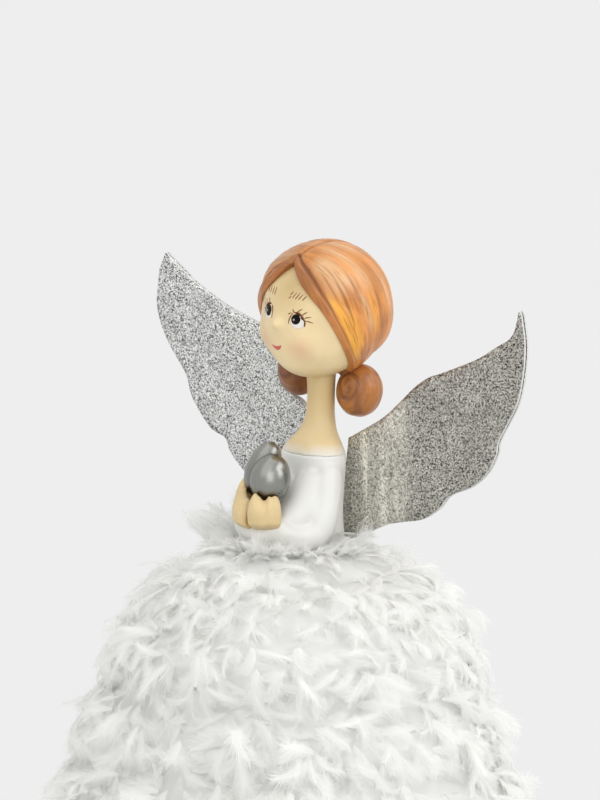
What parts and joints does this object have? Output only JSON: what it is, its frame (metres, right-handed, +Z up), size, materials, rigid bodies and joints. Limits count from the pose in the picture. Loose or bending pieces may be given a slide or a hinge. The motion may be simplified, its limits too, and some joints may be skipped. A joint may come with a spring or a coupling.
{
  "type": "light-up angel figurine",
  "caption": "Angel bust with glitter wings holding a heart, on a feather-trimmed bell skirt over a battery base with a small light string.",
  "frame": {"origin": "centre of the footprint, on the surface that the foot pads stand on", "axes": "+Z up, the figure faces -Y, its left hand is on the +X side"},
  "size_m": [0.2224, 0.2225, 0.3208],
  "materials": {
    "base_plastic": "matte",
    "rubber": "matte",
    "cell_label": "gloss",
    "steel": "satin",
    "black_plastic": "matte",
    "board": "satin",
    "red_insulation": "satin",
    "black_insulation": "satin",
    "string": "gloss",
    "shade": "satin",
    "feather": "matte",
    "dress": "satin",
    "skin": "satin",
    "hair": "satin",
    "silver": "gloss",
    "glitter": "satin"
  },
  "bodies": {
    "figurine": {"base_plate": "base_plastic", "foot_pad_1": "rubber", "foot_pad_2": "rubber", "foot_pad_3": "rubber", "foot_pad_4": "rubber", "battery_1": "cell_label", "battery_2": "cell_label", "positive_contact": "steel", "negative_contact": "steel", "bridge_contact": "steel", "switch_housing": "black_plastic", "switch_screw_left": "steel", "switch_screw_right": "steel", "circuit_board": "board", "positive_lead": "red_insulation", "negative_lead": "black_insulation", "switched_lead": "black_insulation", "light_string": "string", "skirt_form": "shade", "feather_tier_1": "feather", "feather_tier_2": "feather", "feather_tier_3": "feather", "feather_tier_4": "feather", "feather_tier_5": "feather", "feather_tier_6": "feather", "waist_ruff": "feather", "bust_screw": "steel", "bust_washer": "steel", "bodice": "dress", "sleeve_left": "dress", "sleeve_right": "dress", "hand_left": "skin", "hand_right": "skin", "heart": "silver", "head_and_neck": "skin", "hair": "hair", "bun_left": "hair", "bun_right": "hair", "wing_left_front": "glitter", "wing_left_back": "glitter", "wing_right_front": "glitter", "wing_right_back": "glitter"},
    "door": {"battery_door": "base_plastic"},
    "knob": {"switch_knob": "black_plastic"}
  },
  "joints": [
    {"name": "door_hinge", "type": "hinge", "parent": "figurine", "child": "door", "pos_m": [-0.0311, 0, 0.0028], "axis": [0, 1, 0], "range_deg": [0, 80]},
    {"name": "switch_slide", "type": "slide", "parent": "figurine", "child": "knob", "axis": [1, 0, 0], "range_m": [0, 0.003]}
  ]
}
